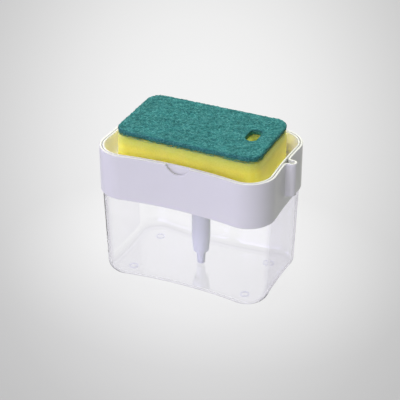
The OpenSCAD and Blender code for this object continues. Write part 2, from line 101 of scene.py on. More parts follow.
# Heights that follow from those and from the sizes of the collar, the deck and the tray
COLLAR_Z = RIM_Z - 33 * MM
SEAT_Z = COLLAR_Z + 3 * MM
DECK_TOP_Z = SEAT_Z + 1.6 * MM
TRAY_Z = DECK_TOP_Z + 8.8 * MM
TRAY_FLOOR_Z = TRAY_Z + 1.4 * MM
RIB_H = 0.8 * MM
FOOT_H = 0.5 * MM
TUB_FLOOR_Z = FOOT_H + TUB_FLOOR
CHANNEL_Z = COLLAR_Z + 8.6 * MM
LUG_Z = CHANNEL_Z + COLLAR_WALL + 8.8 * MM

# Rounded foot of the guide channel: height in mm beside CHANNEL_Z, and how far it bulges
CHANNEL_FOOT = [
    (-1.2, 0.0), (-0.85, 0.25), (-0.5, 0.55), (-0.2, 0.8), (0.05, 0.93), (0.3, 0.985),
    (0.6, 1.0)]

# Finger notch in the collar's front wall
NOTCH_W = 16.5 * MM
NOTCH_D = 6 * MM

# Boss under the tray, which holds the stem, and the outlet through the tray's floor
STEM_TOP_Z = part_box("stem")[1].z
BOSS_Z = TRAY_Z - 9.9 * MM
BOSS_R = 5 * MM
BOSS_BORE_R = 3.05 * MM
OUTLET_R = 2.35 * MM


def arc(centre, radius, start, end, steps):
    """Points of an arc, angles in degrees, without its last point."""
    points = []
    for i in range(steps):
        angle = math.radians(start + (end - start) * i / steps)
        x = centre[0] + radius * math.cos(angle)
        y = centre[1] + radius * math.sin(angle)
        points.append((x, y))
    return points


class Outline:
    """The caddy's waisted outline and its parallel insets."""

    def __init__(self):
        self.cx = HALF_L - CORNER_R
        self.cy = HALF_W - CORNER_R
        self.long_r = (self.cx**2 + LONG_WAIST**2) / (2 * LONG_WAIST)
        self.short_r = (self.cy**2 + SHORT_WAIST**2) / (2 * SHORT_WAIST)
        self.long_a = math.degrees(math.asin(self.cx / self.long_r))
        self.short_a = math.degrees(math.asin(self.cy / self.short_r))
        self.long_y = self.cy + self.long_r * math.cos(math.radians(self.long_a))
        self.short_x = self.cx + self.short_r * math.cos(math.radians(self.short_a))
        self.bx = HALF_L + CHANNEL_REACH
        far = self.short_r - CORNER_R - CHANNEL_FILLET
        near = CHANNEL_R + CHANNEL_FILLET
        span = self.short_x - self.bx
        self.fx = (self.short_x**2 - self.bx**2 - far**2 + near**2) / (2 * span)
        self.fy = math.sqrt(near**2 - (self.fx - self.bx) ** 2)
        self.wall_a = math.degrees(math.atan2(self.fy, self.fx - self.short_x))
        self.barrel_a = math.degrees(math.atan2(self.fy, self.fx - self.bx))
        self.mouth_a = math.degrees(math.atan2(self.fy, self.bx - self.fx))

    def right_end(self, t, end):
        """The right end: plain, with the guide channel, or level with the channel's points."""
        r = self.short_r - CORNER_R + t
        centre = (self.short_x, 0)
        low, high = 180 + self.short_a, 180 - self.short_a
        fillet = CHANNEL_FILLET + t
        half = SHORT_STEPS // 2
        wall_steps = 2 * FILLET_STEPS + BARREL_STEPS
        if end == "plain":
            return arc(centre, r, low, high, SHORT_STEPS)
        if end == "level":
            return (
                arc(centre, r, low, 360 - self.wall_a, half)
                + arc(centre, r, 360 - self.wall_a, self.wall_a, wall_steps)
                + arc(centre, r, self.wall_a, high, half)
            )
        return (
            arc(centre, r, low, 360 - self.wall_a, half)
            + arc((self.fx, -self.fy), fillet, 360 - self.wall_a, self.mouth_a, FILLET_STEPS)
            + arc((self.bx, 0), CHANNEL_R - t, -self.barrel_a, self.barrel_a, BARREL_STEPS)
            + arc((self.fx, self.fy), fillet, -self.mouth_a, self.wall_a - 360, FILLET_STEPS)
            + arc(centre, r, self.wall_a, high, half)
        )

    def ring(self, t=0.0, end="plain"):
        """The outline at inset t, counter-clockwise from above."""
        r = CORNER_R - t
        cx, cy, la, sa = self.cx, self.cy, self.long_a, self.short_a
        long_r, short_r = self.long_r - r, self.short_r - r
        return (
            arc((cx, cy), r, -sa, 90 + la, CORNER_STEPS)
            + arc((0, self.long_y), long_r, la - 90, -90 - la, LONG_STEPS)
            + arc((-cx, cy), r, 90 - la, 180 + sa, CORNER_STEPS)
            + arc((-self.short_x, 0), short_r, sa, -sa, SHORT_STEPS)
            + arc((-cx, -cy), r, 180 - sa, 270 + la, CORNER_STEPS)
            + arc((0, -self.long_y), long_r, 90 + la, 90 - la, LONG_STEPS)
            + arc((cx, -cy), r, -90 - la, sa, CORNER_STEPS)
            + self.right_end(t, end)
        )


OUTLINE = Outline()


def quarter(t, z, r, start, end, steps):
    """A quarter round in a wall's profile, as pairs of inset and height."""
    pairs = []
    for i in range(steps + 1):
        angle = math.radians(start + (end - start) * i / steps)
        pairs.append((t + r * math.cos(angle), z + r * math.sin(angle)))
    return pairs


def finish_mesh(bm, name, sharp=35.0):
    """A new object from a bmesh, shaded smooth but for edges sharper than the angle."""
    bmesh.ops.recalc_face_normals(bm, faces=bm.faces)
    mesh = bpy.data.meshes.new(name)
    bm.to_mesh(mesh)
    bm.free()
    mesh.shade_smooth()
    mesh.set_sharp_from_angle(angle=math.radians(sharp))
    obj = bpy.data.objects.new(name, mesh)
    bpy.context.scene.collection.objects.link(obj)
    weighted = obj.modifiers.new("weighted", "WEIGHTED_NORMAL")
    weighted.keep_sharp = True
    return obj


def add_skin(bm, rings, loop=False):
    """Quads through rings of equal length, capped, or with loop joined last to first."""
    rows = [[bm.verts.new(p) for p in ring] for ring in rings]
    count = len(rows[0])
    pairs = list(zip(rows, rows[1:]))
    if loop:
        pairs.append((rows[-1], rows[0]))
    for low, high in pairs:
        for j in range(count):
            k = (j + 1) % count
            bm.faces.new((low[j], low[k], high[k], high[j]))
    if not loop:
        bm.faces.new(list(reversed(rows[0])))
        bm.faces.new(rows[-1])


def mark_rings(obj, name, *spans, end="plain"):
    """Marks the vertices of some spans of the outline's rings, for the material to read."""
    count = len(OUTLINE.ring(0.0, end))
    marks = obj.data.attributes.new(name, "FLOAT", "POINT")
    values = [0.0] * len(obj.data.vertices)
    for first, last in spans:
        values[first * count:last * count] = [1.0] * ((last - first) * count)
    marks.data.foreach_set("value", values)


def shaped_rings(profile):
    """Rings of the caddy's outline for a profile of (inset, height) pairs."""
    return [[(x, y, z) for x, y in OUTLINE.ring(t)] for t, z in profile]


def collar_rings(profile):
    """Rings of the collar for (inset, height, bulge): 1 with the guide channel, 0 without."""
    rings = []
    for t, z, bulge in profile:
        ring = []
        for a, b in zip(OUTLINE.ring(t, "level"), OUTLINE.ring(t, "channel")):
            x = a[0] + (b[0] - a[0]) * bulge
            y = a[1] + (b[1] - a[1]) * bulge
            ring.append((x, y, z - notch_drop(x, y, z)))
        rings.append(ring)
    return rings


def hole_ring(radius, z):
    """A round hole's edge on the pump's axis, with as many points as the outline."""
    angles = [math.atan2(y, x) for x, y in OUTLINE.ring()]
    return [(radius * math.cos(a), radius * math.sin(a), z) for a in angles]


def add_turned(bm, profile, steps=TURN_STEPS, centre=(0.0, 0.0)):
    """A closed round piece from a closed profile of (radius, height) pairs."""
    rings = []
    for r, z in profile:
        ring = []
        for i in range(steps):
            angle = 2 * math.pi * i / steps
            ring.append((centre[0] + r * math.cos(angle), centre[1] + r * math.sin(angle), z))
        rings.append(ring)
    add_skin(bm, rings, loop=True)


def add_bar(bm, lo, hi, bevel):
    """A block with softened edges, from its lowest to its highest corner."""
    made = bmesh.ops.create_cube(bm, size=1.0)["verts"]
    for v in made:
        v.co = Vector([lo[i] if v.co[i] < 0 else hi[i] for i in range(3)])
    edges = {e for v in made for e in v.link_edges}
    bmesh.ops.bevel(bm, geom=list(edges), offset=bevel, segments=2, affect="EDGES")


# Materials

NO_TINT = (1, 1, 1)


def new_material(name):
    """An empty node material with a Principled shader, and a short way to add nodes."""
    mat = bpy.data.materials.new(name)
    mat.use_nodes = True
    tree = mat.node_tree
    shader = tree.nodes["Principled BSDF"]

    def node(kind, **values):
        made = tree.nodes.new(kind)
        for key, value in values.items():
            if key in made.inputs:
                made.inputs[key].default_value = value
            else:
                setattr(made, key, value)
        return made

    return mat, tree, shader, node


def object_noise(tree, node, scale, detail=2.0, stretch=(1, 1, 1), turn=(0, 0, 0)):
    """Noise in the object's own coordinates, turned and then stretched; scale per metre."""
    place = node("ShaderNodeTexCoord")
    mapping = node("ShaderNodeMapping", vector_type="TEXTURE")
    mapping.inputs["Scale"].default_value = stretch
    mapping.inputs["Rotation"].default_value = turn
    texture = node("ShaderNodeTexNoise", Scale=scale, Detail=detail)
    tree.links.new(place.outputs["Object"], mapping.inputs["Vector"])
    tree.links.new(mapping.outputs["Vector"], texture.inputs["Vector"])
    return texture.outputs["Fac"]


def ramp(tree, node, source, stops):
    """A colour ramp over a value, from pairs of position and linear colour."""
    made = node("ShaderNodeValToRGB")
    elements = made.color_ramp.elements
    while len(elements) < len(stops):
        elements.new(0.5)
    for element, (position, colour) in zip(elements, stops):
        element.position = position
        element.color = (*colour, 1.0)
    tree.links.new(source, made.inputs["Fac"])
    return made.outputs["Color"]


def mixed(tree, node, factor, first, second, blend="MIX"):
    """Two colours, each a socket or a value, mixed by a factor."""
    mix = node("ShaderNodeMix", data_type="RGBA", blend_type=blend)
    for socket, value in (("Factor", factor), ("A", first), ("B", second)):
        if isinstance(value, bpy.types.NodeSocket):
            tree.links.new(value, mix.inputs[socket])
        elif socket == "Factor":
            mix.inputs[socket].default_value = value
        else:
            mix.inputs[socket].default_value = (*value, 1.0)
    return mix.outputs["Result"]


def grey(value):
    """A colour with three equal parts."""
    return (value,) * 3


def spread(tree, node, source, low, high):
    """Maps a value from 0..1 to low..high."""
    made = node("ShaderNodeMapRange")
    made.inputs["To Min"].default_value = low
    made.inputs["To Max"].default_value = high
    tree.links.new(source, made.inputs["Value"])
    return made.outputs["Result"]


def by_height(tree, node, low, high, low_colour, high_colour):
    """A colour that changes between two heights."""
    place = node("ShaderNodeTexCoord")
    parts = node("ShaderNodeSeparateXYZ")
    tree.links.new(place.outputs["Object"], parts.inputs["Vector"])
    rise = node("ShaderNodeMapRange")
    rise.inputs["From Min"].default_value = low
    rise.inputs["From Max"].default_value = high
    tree.links.new(parts.outputs["Z"], rise.inputs["Value"])
    return ramp(tree, node, rise.outputs["Result"], [(0.0, low_colour), (1.0, high_colour)])


def tinted(tree, node, colour, low, high, low_tint, high_tint):
    """A colour times a tint that changes between two heights."""
    tint = by_height(tree, node, low, high, low_tint, high_tint)
    return mixed(tree, node, 1.0, colour, tint, "MULTIPLY")


def bump(tree, node, shader, source, strength, distance):
    """Lets a value roughen the surface."""
    made = node("ShaderNodeBump", Strength=strength, Distance=distance)
    tree.links.new(source, made.inputs["Height"])
    tree.links.new(made.outputs["Normal"], shader.inputs["Normal"])


def marked(tree, node, name, base, colour):
    """The base colour, and another where the mesh has the mark of that name."""
    mark = node("ShaderNodeAttribute", attribute_name=name)
    return mixed(tree, node, mark.outputs["Fac"], base, colour)


def plastic(name, colour, shade, roughness, subsurface, lip=None, outside=None):
    """Moulded plastic: a faint cloudiness, uneven gloss and a fine mould texture.

    The rim can have a darker colour of its own: painted shade that offsets the top light
    falling on it. Where the outer side has a colour of its own, the given colour holds for the
    inner side, which is then painted lighter: painted light for the tray's shaded inside.
    These colours were matched to the photo under the scene's lights.
    """
    mat, tree, shader, node = new_material(name)
    cloud = object_noise(tree, node, 45, 3)
    stops = [(0.3, tuple(c * shade for c in colour)), (0.7, colour)]
    base = ramp(tree, node, cloud, stops)
    if outside:
        base = marked(tree, node, "inner", outside, base)
    if lip:
        base = marked(tree, node, "lip", base, lip)
    tree.links.new(base, shader.inputs["Base Color"])
    gloss = object_noise(tree, node, 420, 4)
    tree.links.new(spread(tree, node, gloss, roughness - 0.05, roughness + 0.07),
                   shader.inputs["Roughness"])
    bump(tree, node, shader, object_noise(tree, node, 2600, 2), 0.05, 0.0002)
    shader.inputs["Subsurface Weight"].default_value = subsurface
    shader.inputs["Subsurface Radius"].default_value = (0.004, 0.004, 0.005)
    shader.inputs["Subsurface Scale"].default_value = 1.0
    shader.inputs["IOR"].default_value = 1.46
    return mat


def clear_plastic(name):
    """Clear moulded plastic with faint flow marks, lavender at a grazing angle, partly from
    the longer path through the wall and partly as painted shade at its edges, and with painted
    shade low down on its outer side and on the floor inside.

    A coat gives the gloss, because a high index of the body would darken the thin walls by
    total reflection. It is full on the floor inside, which mirrors the pump, and thin
    elsewhere.
    """
    thin_coat, full_coat = grey(0.3), (1, 1, 1)
    mat, tree, shader, node = new_material(name)
    graze = node("ShaderNodeLayerWeight", Blend=0.5)
    # Lavender towards a grazing angle: partly the plastic's tint over the longer path through
    # the wall, partly painted shade at the edges
    stops = [
        (0.38, (0.99, 0.99, 1.0)), (0.48, (0.90, 0.89, 0.93)), (0.56, (0.80, 0.79, 0.84)),
        (0.64, (0.74, 0.73, 0.78)), (0.8, (0.64, 0.62, 0.69)), (0.96, (0.60, 0.58, 0.65))]
    # Painted shade: the outer side darker in its lowest 3 mm, along the foot
    wall = tinted(tree, node, ramp(tree, node, graze.outputs["Facing"], stops),
                  FOOT_H + 0.3 * MM, FOOT_H + 3 * MM, (0.89, 0.88, 0.92), NO_TINT)
    # Painted shade: the inner side darker and more lavender on the floor and its fillet, up to
    # 8 mm
    inside = by_height(tree, node, TUB_FLOOR_Z, TUB_FLOOR_Z + 8 * MM,
                       (0.925, 0.92, 0.945), (0.995, 0.995, 1.0))
    tree.links.new(marked(tree, node, "inner", wall, inside), shader.inputs["Base Color"])
    gloss = by_height(tree, node, TUB_FLOOR_Z, TUB_FLOOR_Z + 1.5 * MM, full_coat, thin_coat)
    tree.links.new(marked(tree, node, "inner", thin_coat, gloss), shader.inputs["Coat Weight"])
    shader.inputs["Transmission Weight"].default_value = 1.0
    shader.inputs["IOR"].default_value = 1.06
    shader.inputs["Coat Roughness"].default_value = 0.1
    shader.inputs["Coat IOR"].default_value = 2.0
    marks = object_noise(tree, node, 60, 3)
    tree.links.new(spread(tree, node, marks, 0.02, 0.07), shader.inputs["Roughness"])
    flow = object_noise(tree, node, 55, 2, stretch=(1, 1, 3))
    bump(tree, node, shader, flow, 0.02, 0.0005)
    return mat


def frosted_plastic(name):
    """The same plastic where the mould is rough, so that it scatters the light."""
    mat, tree, shader, node = new_material(name)
    shader.inputs["Base Color"].default_value = (0.74, 0.74, 0.83, 1)
    shader.inputs["Transmission Weight"].default_value = 0.92
    shader.inputs["IOR"].default_value = 1.12
    grain = object_noise(tree, node, 1400, 3)
    tree.links.new(spread(tree, node, grain, 0.35, 0.6), shader.inputs["Roughness"])
    bump(tree, node, shader, grain, 0.1, 0.0001)
    return mat


def foam_material(name):
    """Yellow sponge: open cells with darker pores, and painted shade under the pad, darker and
    cooler in its top 8 mm.
    """
    mat, tree, shader, node = new_material(name)
    place = node("ShaderNodeTexCoord")
    cells = node("ShaderNodeTexVoronoi", Scale=900)
    tree.links.new(place.outputs["Object"], cells.inputs["Vector"])
    stops = [
        (0.0, (0.76, 0.68, 0.08)), (0.4, (0.82, 0.75, 0.105)), (1.0, (0.84, 0.78, 0.12))]
    pores = ramp(tree, node, cells.outputs["Distance"], stops)
    patches = ramp(tree, node, object_noise(tree, node, 60, 3),
                   [(0.35, (0.92, 0.94, 0.9)), (0.65, NO_TINT)])
    sponge = mixed(tree, node, 1.0, pores, patches, "MULTIPLY")
    # Painted shade: the top 8 mm darker and cooler towards the pad above it
    base = tinted(tree, node, sponge, FOAM_HI.z - 8 * MM, FOAM_HI.z,
                  NO_TINT, (0.55, 0.70, 1.0))
    tree.links.new(base, shader.inputs["Base Color"])
    shader.inputs["Roughness"].default_value = 0.95
    shader.inputs["Specular IOR Level"].default_value = 0.2
    shader.inputs["Subsurface Weight"].default_value = 0.85
    shader.inputs["Subsurface Radius"].default_value = (0.014, 0.011, 0.003)
    shader.inputs["Subsurface Scale"].default_value = 1.0
    shader.inputs["Sheen Weight"].default_value = 0.2
    bump(tree, node, shader, cells.outputs["Distance"], 0.25, 0.0003)
    return mat


def scour_material(name, light):
    """Green scouring web: crossing fibres, lighter on top and dark between them, partly the
    web's own colour and partly painted shade in the gaps.

    Its lowest 3 mm is yellower: painted light, bounced from the foam below it.
    """
    mat, tree, shader, node = new_material(name)
    layers = []
    for turn in (0.35, 1.4, 2.45):
        layers.append(object_noise(tree, node, 1000, 3, (2.4, 0.7, 1), (0, 0, turn)))
    top = layers[0]
    for other in layers[1:]:
        made = node("ShaderNodeMath", operation="MAXIMUM")
        tree.links.new(top, made.inputs[0])
        tree.links.new(other, made.inputs[1])
        top = made.outputs["Value"]
    # Dark in the gaps and light on the top fibres: partly the web's colour, partly painted
    # shade in the gaps
    dark = tuple(c * light for c in (0.008, 0.079, 0.073))
    mid = tuple(c * light for c in (0.018, 0.128, 0.120))
    bright = tuple(c * light for c in (0.072, 0.245, 0.230))
    fibre = ramp(tree, node, top, [(0.45, dark), (0.57, mid), (0.72, bright)])
    patches = ramp(tree, node, object_noise(tree, node, 150, 4),
                   [(0.3, grey(0.86)), (0.7, grey(1.1))])
    web = mixed(tree, node, 1.0, fibre, patches, "MULTIPLY")
    # Painted light: the lowest 3 mm yellower, as light bounced from the foam
    base = tinted(tree, node, web, PAD_LO.z, PAD_LO.z + 3 * MM, (1.4, 1.4, 0.92), NO_TINT)
    tree.links.new(base, shader.inputs["Base Color"])
    shader.inputs["Roughness"].default_value = 0.8
    shader.inputs["Specular IOR Level"].default_value = 0.3
    bump(tree, node, shader, top, 0.7, 0.0006)
    return mat


def metal(name, colour, roughness):
    """Drawn wire, with faint streaks."""
    mat, tree, shader, node = new_material(name)
    shader.inputs["Metallic"].default_value = 1.0
    drawn = object_noise(tree, node, 900, 3, stretch=(1, 1, 0.2))
    stops = [(0.3, tuple(c * 0.85 for c in colour)), (0.7, colour)]
    tree.links.new(ramp(tree, node, drawn, stops), shader.inputs["Base Color"])
    tree.links.new(spread(tree, node, drawn, roughness - 0.06, roughness + 0.1),
                   shader.inputs["Roughness"])
    return mat


def rubber(name):
    """Black rubber with a matt grain."""
    mat, tree, shader, node = new_material(name)
    grain = object_noise(tree, node, 1500, 3)
    stops = [(0.3, (0.02, 0.02, 0.023)), (0.7, (0.04, 0.04, 0.045))]
    tree.links.new(ramp(tree, node, grain, stops), shader.inputs["Base Color"])
    tree.links.new(spread(tree, node, grain, 0.6, 0.85), shader.inputs["Roughness"])
    bump(tree, node, shader, grain, 0.2, 0.0002)
    return mat


def glass_ball(name):
    """Polished glass with slight marks."""
    mat, tree, shader, node = new_material(name)
    shader.inputs["Base Color"].default_value = (0.9, 0.95, 0.95, 1)
    shader.inputs["Transmission Weight"].default_value = 0.85
    marks = object_noise(tree, node, 900, 2)
    tree.links.new(spread(tree, node, marks, 0.03, 0.12), shader.inputs["Roughness"])
    return mat


WALL_COLOUR = (0.66, 0.67, 0.625)
# Painted shade: the rims are darker than the wall, to offset the top light that falls on them
LIP_PAINTED_SHADE = (0.53, 0.536, 0.50)
WHITE = plastic("white_moulding", WALL_COLOUR, shade=0.975, roughness=0.32,
                subsurface=0.10, lip=LIP_PAINTED_SHADE)
# Painted light: the tray's inner side is far lighter than the wall, for its shaded inside; its
# outer side keeps the wall's colour
TRAY_WHITE_PAINTED_LIGHT = plastic("white_tray_painted_light", (0.97, 0.945, 0.92), shade=0.985, roughness=0.36,
                     subsurface=0.25, lip=LIP_PAINTED_SHADE, outside=WALL_COLOUR)
LUG_WHITE = plastic("white_lug", WALL_COLOUR, shade=0.975, roughness=0.32, subsurface=0.10)
# Painted light: the tray's ribs and the outlet cap are as light as the tray's painted inside
FLOOR_WHITE_PAINTED_LIGHT = plastic("white_ribs_painted_light", (0.95, 0.93, 0.90), shade=0.985, roughness=0.36,
                      subsurface=0.25)
MILKY = plastic("pump_plastic", (0.47, 0.49, 0.475), shade=0.95, roughness=0.34,
                subsurface=0.45)
SEAL = plastic("seal_plastic", (0.55, 0.62, 0.72), shade=0.93, roughness=0.45,
               subsurface=0.2)
CLEAR = clear_plastic("clear_tub")
FROSTED = frosted_plastic("frosted_feet")
FOAM = foam_material("yellow_foam")
SCOUR = scour_material("green_scour", light=0.97)
# Painted light: the loose fibres are a lighter copy of the web's colours
FIBRE_PAINTED_LIGHT = scour_material("green_fibre_painted_light", light=1.35)
STEEL = metal("spring_steel", (0.62, 0.63, 0.65), roughness=0.3)
RUBBER = rubber("gasket_rubber")
BALL = glass_ball("ball_glass")


def dress(obj, mat, slot, body, *nodes):
    """Gives a piece its material, sets it on its body, lets it replace nodes. The slot is not
    used.
    """
    obj.data.materials.clear()
    obj.data.materials.append(mat)
    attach(obj, body)
    if nodes:
        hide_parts(*nodes)
    return obj


# Clear tub

def make_tub():
    """The clear tub, with its inner side and its underside marked."""
    bm = bmesh.new()
    out_z = FOOT_H + TUB_EDGE_R
    in_r = TUB_EDGE_R - TUB_WALL
    rim_r = 0.5 * MM
    outer = quarter(TUB_BASE_IN + TUB_EDGE_R, out_z, TUB_EDGE_R, 270, 180, EDGE_STEPS)
    rim_out = quarter(TUB_IN + rim_r, TUB_TOP_Z - rim_r, rim_r, 180, 90, LIP_STEPS)
    rim_in = quarter(TUB_IN + TUB_WALL - rim_r, TUB_TOP_Z - rim_r, rim_r, 90, 0, LIP_STEPS)
    inner = quarter(TUB_BASE_IN + TUB_EDGE_R, TUB_FLOOR_Z + in_r, in_r, 180, 270, EDGE_STEPS)
    outside, inside = outer + rim_out, rim_in + inner
    add_skin(bm, shaped_rings(outside + inside))
    tub = finish_mesh(bm, "tub")
    mark_rings(tub, "inner", (0, 1), (len(outside), len(outside + inside)))
    tub.visible_shadow = False
    return dress(tub, CLEAR, "clear_tub", "base", "reservoir")


def make_feet():
    """Four ring feet, which run up into the tub's floor and are frosted as moulded."""
    foot_r = 3.3 * MM
    bore_r = 2.2 * MM
    soft = 0.2 * MM
    sunk = 0.2 * MM
    foot_x, foot_y = 42.4 * MM, 21.3 * MM
    top = FOOT_H + sunk
    bm = bmesh.new()
    profile = [
        (bore_r, top), (bore_r, soft), (bore_r + soft, 0.0),
        (foot_r - soft, 0.0), (foot_r, soft), (foot_r, top)]
    for sx in (-1, 1):
        for sy in (-1, 1):
            add_turned(bm, profile, FOOT_STEPS, (sx * foot_x, sy * foot_y))
    feet = finish_mesh(bm, "tub_feet")
    feet.visible_shadow = False
    return dress(feet, FROSTED, "clear_tub", "base")


# White collar

def notch_drop(x, y, z):
    """How far the collar's lip is lowered by the finger notch in the front wall."""
    radius = ((NOTCH_W / 2) ** 2 + NOTCH_D**2) / (2 * NOTCH_D)
    if y > 0 or abs(x) >= NOTCH_W / 2 or z < RIM_Z - COLLAR_WALL:
        return 0.0
    return NOTCH_D - radius + math.sqrt(radius**2 - x**2)


def make_collar():
    """The collar's wall with notch and channel, and within it the deck and its spigot."""
    bm = bmesh.new()
    hem_r = 0.4 * MM
    spigot_r, spigot_bore = 10 * MM, 8 * MM
    spigot_top = SEAT_Z + 0.3 * MM
    deck_in = SKIRT_WALL * 1.3
    hem = quarter(hem_r, COLLAR_Z + hem_r, hem_r, 270, 180, LIP_STEPS)
    lip = quarter(LIP_R, RIM_Z - LIP_R, LIP_R, 180, 90, LIP_STEPS)
    lip += quarter(COLLAR_WALL - LIP_R, RIM_Z - LIP_R, LIP_R, 90, 0, LIP_STEPS)
    foot = [(0.0, CHANNEL_Z + rise * MM, bulge) for rise, bulge in CHANNEL_FOOT]
    floor = [(COLLAR_WALL, z + COLLAR_WALL, bulge) for _, z, bulge in reversed(foot)]
    inside = [(COLLAR_WALL, DECK_TOP_Z - LIP_R), (SKIRT_WALL, SEAT_Z), (SKIRT_WALL, COLLAR_Z)]
    profile = [(t, z, 0) for t, z in hem] + foot + [(t, z, 1) for t, z in lip]
    profile += floor + [(t, z, 0) for t, z in inside]
    add_skin(bm, collar_rings(profile), loop=True)
    rings = shaped_rings([(deck_in, SEAT_Z), (deck_in, DECK_TOP_Z)])
    add_skin(bm, [hole_ring(spigot_bore, SEAT_Z), *rings, hole_ring(spigot_bore, DECK_TOP_Z)],
             loop=True)
    add_turned(bm, [
        (spigot_bore, SPIGOT_Z), (spigot_r, SPIGOT_Z), (spigot_r, spigot_top),
        (spigot_bore, spigot_top)])
    collar = finish_mesh(bm, "collar_shell")
    before = len(hem + foot)
    # The lip mark carries the rim's painted shade
    mark_rings(collar, "lip", (before + 1, before + len(lip) - 1), end="channel")
    return dress(collar, WHITE, "white_moulding", "top", "collar")


# Press tray

def make_tray():
    """The dish with the outlet through its floor and the boss that holds the stem."""
    bm = bmesh.new()
    soft = 0.3 * MM
    boss_top = TRAY_Z + 0.7 * MM
    under = quarter(TRAY_IN + TRAY_EDGE_R, TRAY_Z + TRAY_EDGE_R, TRAY_EDGE_R,
                    270, 180, EDGE_STEPS)
    lip_out = quarter(TRAY_IN + LIP_R, RIM_Z - LIP_R, LIP_R, 180, 90, LIP_STEPS)
    lip_in = quarter(TRAY_CAVITY_IN - LIP_R, RIM_Z - LIP_R, LIP_R, 90, 0, LIP_STEPS)
    inner = quarter(TRAY_CAVITY_IN + TRAY_EDGE_R, TRAY_FLOOR_Z + TRAY_EDGE_R, TRAY_EDGE_R,
                    180, 270, EDGE_STEPS)
    rings = shaped_rings(under + lip_out + lip_in + inner)
    rings += [hole_ring(OUTLET_R, TRAY_FLOOR_Z), hole_ring(OUTLET_R, TRAY_Z)]
    add_skin(bm, rings, loop=True)
    add_turned(bm, [
        (BOSS_R, BOSS_Z + soft), (BOSS_R, boss_top), (OUTLET_R, boss_top),
        (OUTLET_R, STEM_TOP_Z), (BOSS_BORE_R, STEM_TOP_Z), (BOSS_BORE_R, BOSS_Z),
        (BOSS_R - soft, BOSS_Z)])
    tray = finish_mesh(bm, "tray_dish")
    # The lip mark carries the rim's painted shade, the inner mark the inside's painted light
    before = len(under)
    edge = len(lip_out + lip_in)
    mark_rings(tray, "lip", (before + 1, before + edge - 1))
    mark_rings(tray, "inner", (before + len(lip_out), before + edge + len(inner) + 1))
    return dress(tray, TRAY_WHITE_PAINTED_LIGHT, "white_moulding", "tray", "press_tray")


def make_tray_ribs():
    """Low ribs along the tray's floor, left out round the outlet cap."""
    half_w = 0.8 * MM
    pitch = 8 * MM
    rows = 3
    clear = 10.1 * MM
    sunk, soft = 0.5 * MM, 0.3 * MM
    ring = OUTLINE.ring(8.05 * MM)
    low, high = TRAY_FLOOR_Z - sunk, TRAY_FLOOR_Z + RIB_H
    bm = bmesh.new()
    for row in range(-rows, rows + 1):
        y = row * pitch
        side = abs(y) + half_w
        reach = max(
            a[0] + (b[0] - a[0]) * (side - a[1]) / (b[1] - a[1])
            for a, b in zip(ring, ring[1:] + ring[:1])
            if (a[1] - side) * (b[1] - side) < 0)
        spans = [(-reach, reach)]
        if abs(y) < clear:
            inner = math.sqrt(clear**2 - y**2)
            spans = [(-reach, -inner), (inner, reach)]
        for x0, x1 in spans:
            add_bar(bm, (x0, y - half_w, low), (x1, y + half_w, high), soft)
    ribs = finish_mesh(bm, "tray_ribs")
    return dress(ribs, FLOOR_WHITE_PAINTED_LIGHT, "white_moulding", "tray")


def make_tray_lug():
    """The lug that runs in the guide channel, and the web that joins it to the tray's end."""
    lug_r = 1.4 * MM
    web_half = 0.7 * MM
    top = RIM_Z - 3.5 * MM
    soft, web_soft = 0.25 * MM, 0.2 * MM
    soft_steps = 4
    sunk = 0.7 * MM
    end_x = HALF_L - SHORT_WAIST - TRAY_IN - sunk
    profile = quarter(soft, LUG_Z + soft, soft, 270, 180, soft_steps)
    profile += quarter(soft, top - soft, soft, 180, 90, soft_steps)
    bm = bmesh.new()
    rings = []
    for t, z in profile:
        ring = arc((OUTLINE.bx, 0), lug_r - t, 0, 360, LUG_STEPS)
        rings.append([(x, y, z) for x, y in ring])
    add_skin(bm, rings)
    add_bar(bm, (end_x, -web_half, LUG_Z), (OUTLINE.bx, web_half, top), web_soft)
    lug = finish_mesh(bm, "tray_lug")
    return dress(lug, LUG_WHITE, "white_moulding", "tray")


# Sponge

def rounded_block(bm, lo, hi, corner, edge):
    """A block with round corners seen from above and softened edges."""
    steps, edge_steps = 14, 5
    half = ((hi.x - lo.x) / 2, (hi.y - lo.y) / 2)
    mid = ((hi.x + lo.x) / 2, (hi.y + lo.y) / 2)
    profile = quarter(edge, lo.z + edge, edge, 270, 180, edge_steps)
    profile += quarter(edge, hi.z - edge, edge, 180, 90, edge_steps)
    rings = []
    for t, z in profile:
        ring = []
        for sx, sy, start in ((1, 1, 0), (-1, 1, 90), (-1, -1, 180), (1, -1, 270)):
            centre = (mid[0] + sx * (half[0] - corner), mid[1] + sy * (half[1] - corner))
            ring += arc(centre, corner - t, start, start + 90 + 90 / steps, steps + 1)
        rings.append([(x, y, z) for x, y in ring])
    add_skin(bm, rings)


def remeshed(obj, voxel):
    """Applies a voxel remesh and returns the object, shaded smooth."""
    modifier = obj.modifiers.new("remesh", "REMESH")
    modifier.mode = "VOXEL"
    modifier.voxel_size = voxel
    graph = bpy.context.evaluated_depsgraph_get()
    mesh = bpy.data.meshes.new_from_object(obj.evaluated_get(graph))
    obj.modifiers.clear()
    old = obj.data
    obj.data = mesh
    bpy.data.meshes.remove(old)
    mesh.shade_smooth()
    return obj


def ease(part):
    """A smooth step from 0 to 1."""
    part = min(max(part, 0.0), 1.0)
    return part * part * (3 - 2 * part)


def push_out(obj, amount):
    """Moves each vertex along its normal by what amount gives for its place."""
    vertices = obj.data.vertices
    moves = [v.normal * amount(v.co) for v in vertices]
    for v, move in zip(vertices, moves):
        v.co += move


# Radii of the foam's and the pad's corners, seen from above, and of their edges
FOAM_R = 10.5 * MM
FOAM_EDGE_R = 1.5 * MM
PAD_R = 9.7 * MM
PAD_EDGE_R = 1.3 * MM

# How far the web's surface lies inside its block
PAD_SUNK = 0.3 * MM

